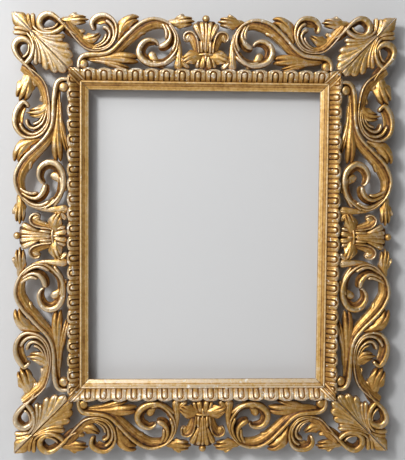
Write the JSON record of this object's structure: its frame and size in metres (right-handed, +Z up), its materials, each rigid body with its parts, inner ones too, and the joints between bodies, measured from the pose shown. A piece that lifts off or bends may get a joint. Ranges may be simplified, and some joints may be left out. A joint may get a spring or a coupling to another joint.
{
  "type": "picture frame",
  "caption": "Carved gilt picture frame with pierced acanthus scrolls, egg-and-dart and sight mouldings, a rebated back, turn buttons and hanging rings.",
  "frame": {"origin": "middle of the top back rail's back face, where the frame lies to the wall", "axes": "+X to the right seen from the front, +Y towards the wall, +Z up"},
  "size_m": [0.644, 0.043, 0.7438],
  "materials": {
    "gilded_wood": "worn water gilding over red-brown bole and white gesso",
    "bare_wood": "aged bare pine, sawn and planed",
    "brass": "dull aged brass",
    "steel": "dull zinc-plated steel"
  },
  "bodies": {
    "frame": {"back_rail_top": "bare_wood", "carved_rail_top": "gilded_wood", "egg_moulding_top": "gilded_wood", "sight_moulding_top": "gilded_wood", "back_rail_left": "bare_wood", "carved_rail_left": "gilded_wood", "egg_moulding_left": "gilded_wood", "sight_moulding_left": "gilded_wood", "back_rail_bottom": "bare_wood", "carved_rail_bottom": "gilded_wood", "egg_moulding_bottom": "gilded_wood", "sight_moulding_bottom": "gilded_wood", "back_rail_right": "bare_wood", "carved_rail_right": "gilded_wood", "egg_moulding_right": "gilded_wood", "sight_moulding_right": "gilded_wood", "corner_key_top_left": "bare_wood", "corner_key_top_right": "bare_wood", "corner_key_bottom_right": "bare_wood", "corner_key_bottom_left": "bare_wood", "button_screw_left_upper": "brass", "button_screw_left_middle": "brass", "button_screw_left_lower": "brass", "button_screw_right_upper": "brass", "button_screw_right_middle": "brass", "button_screw_right_lower": "brass", "hanger_strap_left": "steel", "hanger_screw_left_upper": "steel", "hanger_screw_left_lower": "steel", "hanger_strap_right": "steel", "hanger_screw_right_upper": "steel", "hanger_screw_right_lower": "steel"},
    "turn_button_left_upper": {"turn_button_left_upper": "brass"},
    "turn_button_left_middle": {"turn_button_left_middle": "brass"},
    "turn_button_left_lower": {"turn_button_left_lower": "brass"},
    "turn_button_right_upper": {"turn_button_right_upper": "brass"},
    "turn_button_right_middle": {"turn_button_right_middle": "brass"},
    "turn_button_right_lower": {"turn_button_right_lower": "brass"},
    "d_ring_left": {"d_ring_left": "steel"},
    "d_ring_right": {"d_ring_right": "steel"}
  },
  "joints": [
    {"name": "button_turn_left_upper", "type": "hinge", "parent": "frame", "child": "turn_button_left_upper", "pos_m": [-0.208, 0, -0.1145], "axis": [0, 1, 0], "continuous": true},
    {"name": "button_turn_left_middle", "type": "hinge", "parent": "frame", "child": "turn_button_left_middle", "pos_m": [-0.208, 0, -0.2645], "axis": [0, 1, 0], "continuous": true},
    {"name": "button_turn_left_lower", "type": "hinge", "parent": "frame", "child": "turn_button_left_lower", "pos_m": [-0.208, 0, -0.4145], "axis": [0, 1, 0], "continuous": true},
    {"name": "button_turn_right_upper", "type": "hinge", "parent": "frame", "child": "turn_button_right_upper", "pos_m": [0.208, 0, -0.1145], "axis": [0, 1, 0], "continuous": true},
    {"name": "button_turn_right_middle", "type": "hinge", "parent": "frame", "child": "turn_button_right_middle", "pos_m": [0.208, 0, -0.2645], "axis": [0, 1, 0], "continuous": true},
    {"name": "button_turn_right_lower", "type": "hinge", "parent": "frame", "child": "turn_button_right_lower", "pos_m": [0.208, 0, -0.4145], "axis": [0, 1, 0], "continuous": true},
    {"name": "ring_swing_left", "type": "hinge", "parent": "frame", "child": "d_ring_left", "pos_m": [-0.2145, 0.0027, -0.1619], "axis": [1, 0, 0], "range_deg": [0, 180]},
    {"name": "ring_swing_right", "type": "hinge", "parent": "frame", "child": "d_ring_right", "pos_m": [0.2145, 0.0027, -0.1619], "axis": [1, 0, 0], "range_deg": [0, 180]}
  ]
}
